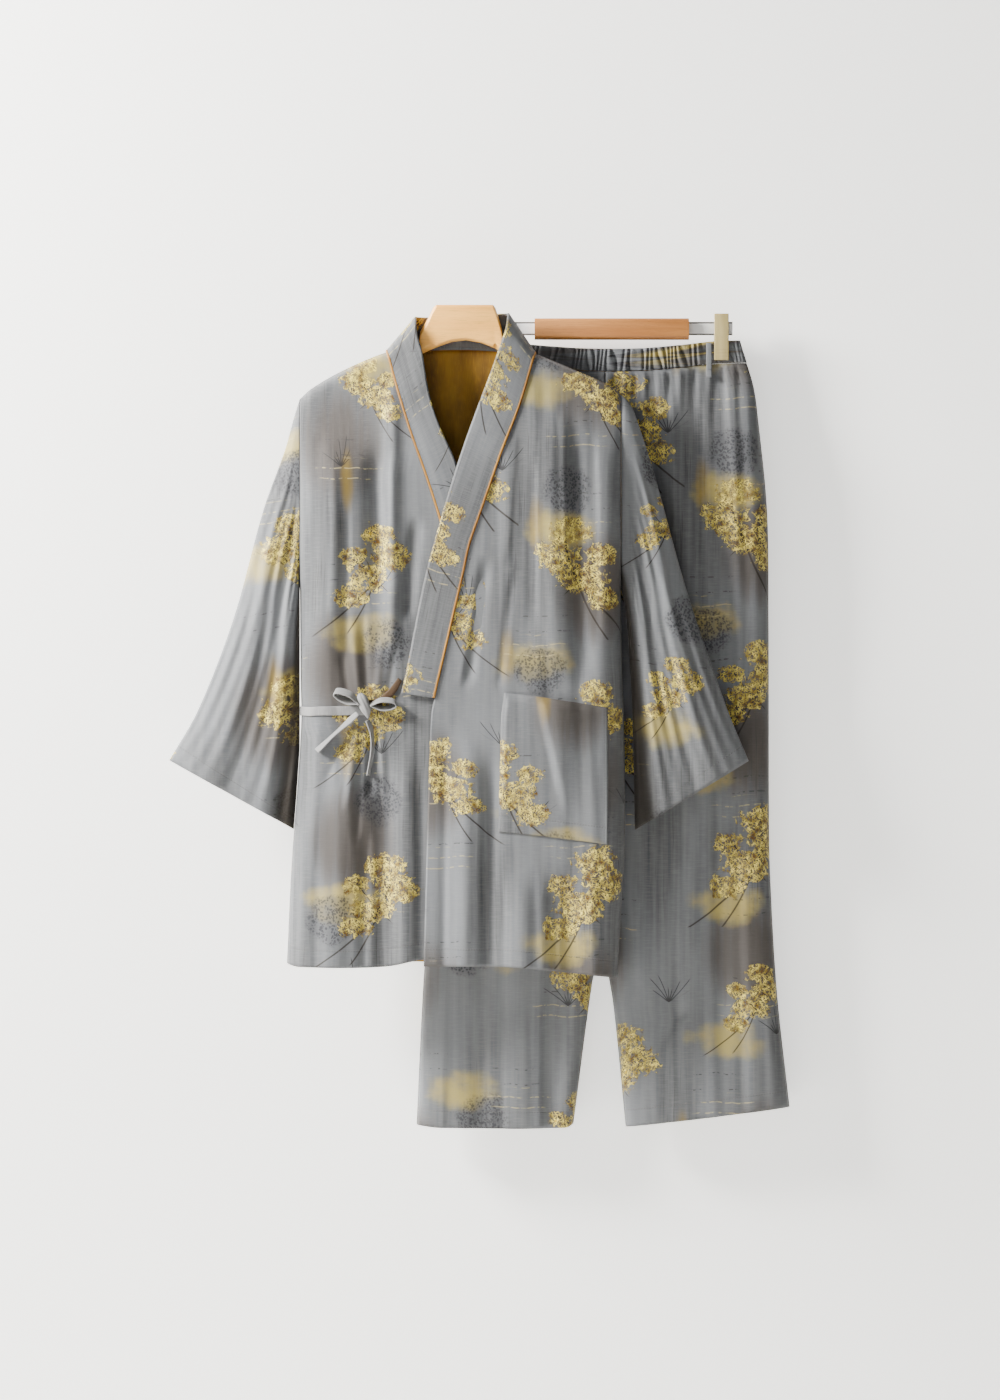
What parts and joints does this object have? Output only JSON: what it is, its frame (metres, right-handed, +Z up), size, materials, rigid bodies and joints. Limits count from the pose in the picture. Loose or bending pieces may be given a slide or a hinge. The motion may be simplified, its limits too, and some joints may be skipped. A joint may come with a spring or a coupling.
{
  "type": "kimono pyjama set on hangers",
  "caption": "Wrap-front kimono jacket with a side tie on a wooden hanger, and matching wide trousers with a gathered waist clipped to a hanger behind it.",
  "frame": {"origin": "middle of the flat top of the jacket hanger's block", "axes": "+Z up, along the garments' length; -Y towards the pictured front; +X to the viewer's right"},
  "size_m": [0.7778, 0.1261, 1.032],
  "materials": {
    "cloth": "matt printed weave",
    "piping": "matt",
    "pale_wood": "satin",
    "warm_wood": "satin",
    "bright_metal": "polished",
    "beige_clip": "semi-gloss"
  },
  "bodies": {
    "root": {"jacket_hanger": "pale_wood", "front_under": "cloth", "front_over": "cloth", "jacket_back": "cloth", "collar_band": "cloth", "collar_piping": "piping", "sleeve_left": "cloth", "sleeve_right": "cloth", "pocket": "cloth", "tie_band": "cloth", "bow_knot": "cloth", "bow_loop_right": "cloth", "bow_loop_left": "cloth", "bow_tail_left": "cloth", "bow_tail_right": "cloth", "tie_strap": "cloth", "waistband": "cloth", "trouser_front_right": "cloth", "trouser_back_right": "cloth", "trouser_front_left": "cloth", "trouser_back_left": "cloth", "waist_strap": "cloth", "hanger_grip": "warm_wood", "hanger_bar": "bright_metal", "clip_left": "beige_clip", "clip_right": "beige_clip"}
  },
  "joints": []
}
